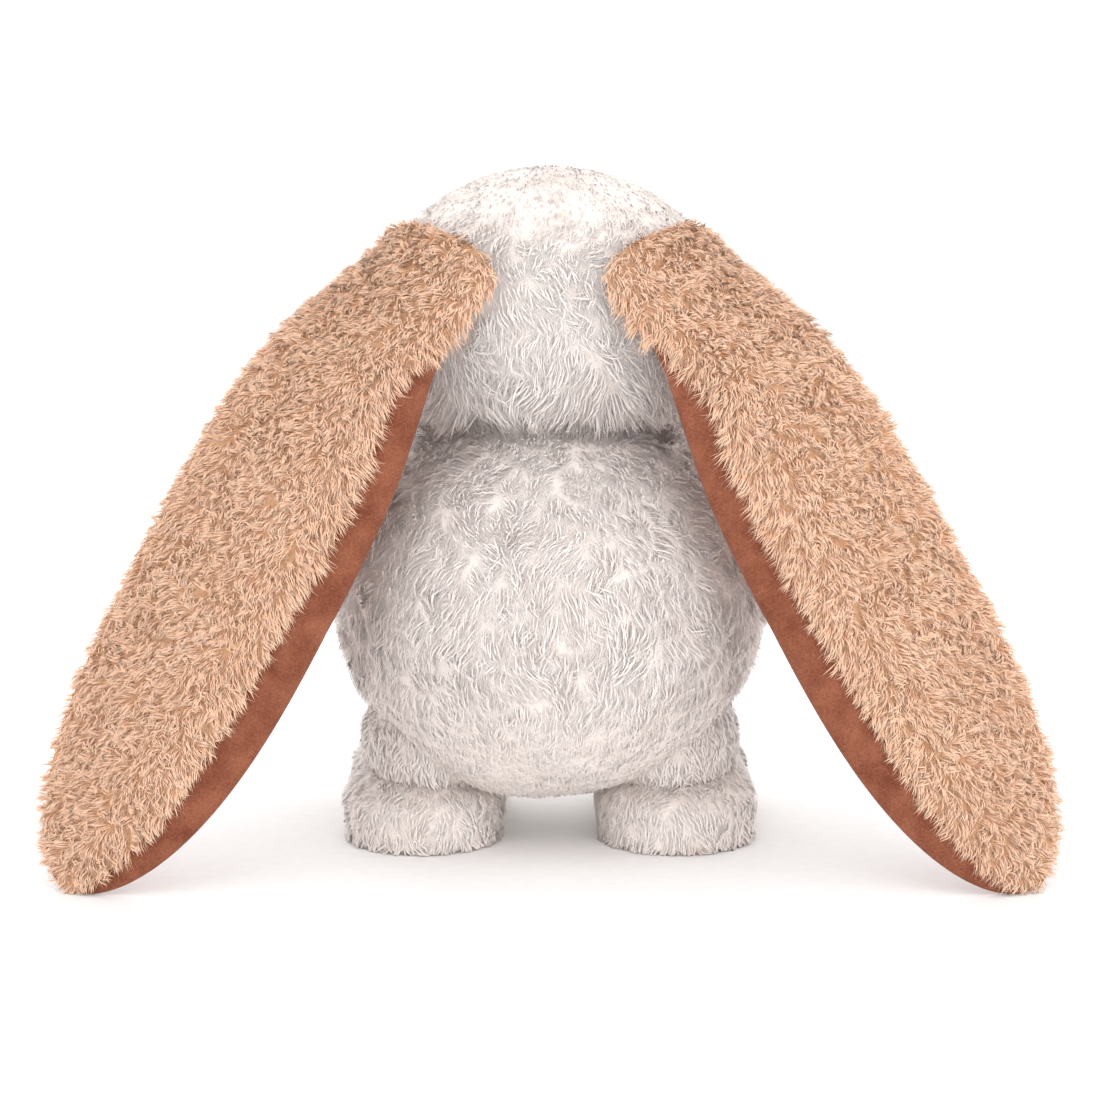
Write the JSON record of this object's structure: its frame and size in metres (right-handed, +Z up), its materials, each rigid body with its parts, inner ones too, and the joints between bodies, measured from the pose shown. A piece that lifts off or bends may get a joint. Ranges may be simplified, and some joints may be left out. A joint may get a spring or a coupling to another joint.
{
  "type": "stuffed bunny rabbit",
  "caption": "Round standing stuffed rabbit in long white plush, with very long tan lop ears lined in rust cloth that reach the floor beside its feet.",
  "frame": {"origin": "on the floor, in the middle of the whole toy, under the body's middle", "axes": "+Z up, the face and toes towards -Y, the toy's left towards +X"},
  "size_m": [0.4306, 0.2046, 0.3009],
  "materials": {
    "white_plush": "matte",
    "tan_plush": "matte",
    "rust_lining": "matte",
    "polyester_filling": "matte",
    "cotton_pouch": "matte",
    "pellets": "satin",
    "sole_cloth": "matte",
    "sole_board": "matte",
    "lock_washer": "satin",
    "safety_eye": "gloss",
    "nose": "satin",
    "thread": "matte"
  },
  "bodies": {
    "body": {"body_cover": "white_plush", "body_filling": "polyester_filling", "pellet_pouch": "cotton_pouch", "pellets": "pellets", "leg_cover_left": "white_plush", "leg_cover_right": "white_plush", "leg_filling_left": "polyester_filling", "leg_filling_right": "polyester_filling", "sole_left": "sole_cloth", "sole_right": "sole_cloth", "sole_board_left": "sole_board", "sole_board_right": "sole_board"},
    "head": {"head_cover": "white_plush", "muzzle_cover": "white_plush", "head_filling": "polyester_filling", "eye_left": "safety_eye", "eye_right": "safety_eye", "eye_washer_left": "lock_washer", "eye_washer_right": "lock_washer", "nose": "nose", "nose_washer": "lock_washer", "mouth_stitch": "thread"},
    "ear_left": {"ear_left_upper_plush": "tan_plush", "ear_left_upper_lining": "rust_lining", "ear_left_upper_wadding": "polyester_filling"},
    "ear_left_end": {"ear_left_lower_plush": "tan_plush", "ear_left_lower_lining": "rust_lining", "ear_left_lower_wadding": "polyester_filling"},
    "ear_right": {"ear_right_upper_plush": "tan_plush", "ear_right_upper_lining": "rust_lining", "ear_right_upper_wadding": "polyester_filling"},
    "ear_right_end": {"ear_right_lower_plush": "tan_plush", "ear_right_lower_lining": "rust_lining", "ear_right_lower_wadding": "polyester_filling"},
    "arm_left": {"arm_cover_left": "white_plush", "arm_filling_left": "polyester_filling"},
    "arm_right": {"arm_cover_right": "white_plush", "arm_filling_right": "polyester_filling"}
  },
  "joints": [
    {"name": "head_turn", "type": "hinge", "parent": "body", "child": "head", "pos_m": [0, 0, 0.18894], "axis": [0, 0, 1], "range_deg": [-25, 25], "stiffness_Nm_per_rad": 0.08},
    {"name": "ear_left_lift", "type": "hinge", "parent": "head", "child": "ear_left", "pos_m": [0.054, 0.04043, 0.27507], "axis": [0.6762, -0.7281, 0.112], "range_deg": [0, 100]},
    {"name": "ear_left_fold", "type": "hinge", "parent": "ear_left", "child": "ear_left_end", "pos_m": [0.12733, 0.08151, 0.14552], "axis": [0.8391, -0.3861, 0.3832], "range_deg": [0, 70]},
    {"name": "ear_right_lift", "type": "hinge", "parent": "head", "child": "ear_right", "pos_m": [-0.054, 0.04043, 0.27507], "axis": [0.6762, 0.7281, -0.112], "range_deg": [0, 100]},
    {"name": "ear_right_fold", "type": "hinge", "parent": "ear_right", "child": "ear_right_end", "pos_m": [-0.12733, 0.08151, 0.14552], "axis": [0.8391, 0.3861, -0.3832], "range_deg": [0, 70]},
    {"name": "arm_left_swing", "type": "hinge", "parent": "body", "child": "arm_left", "pos_m": [0.0711, -0.0711, 0.17005], "axis": [-0.7071, -0.7071, 0], "range_deg": [0, 80]},
    {"name": "arm_right_swing", "type": "hinge", "parent": "body", "child": "arm_right", "pos_m": [-0.0711, -0.0711, 0.17005], "axis": [-0.7071, 0.7071, 0], "range_deg": [0, 80]}
  ]
}
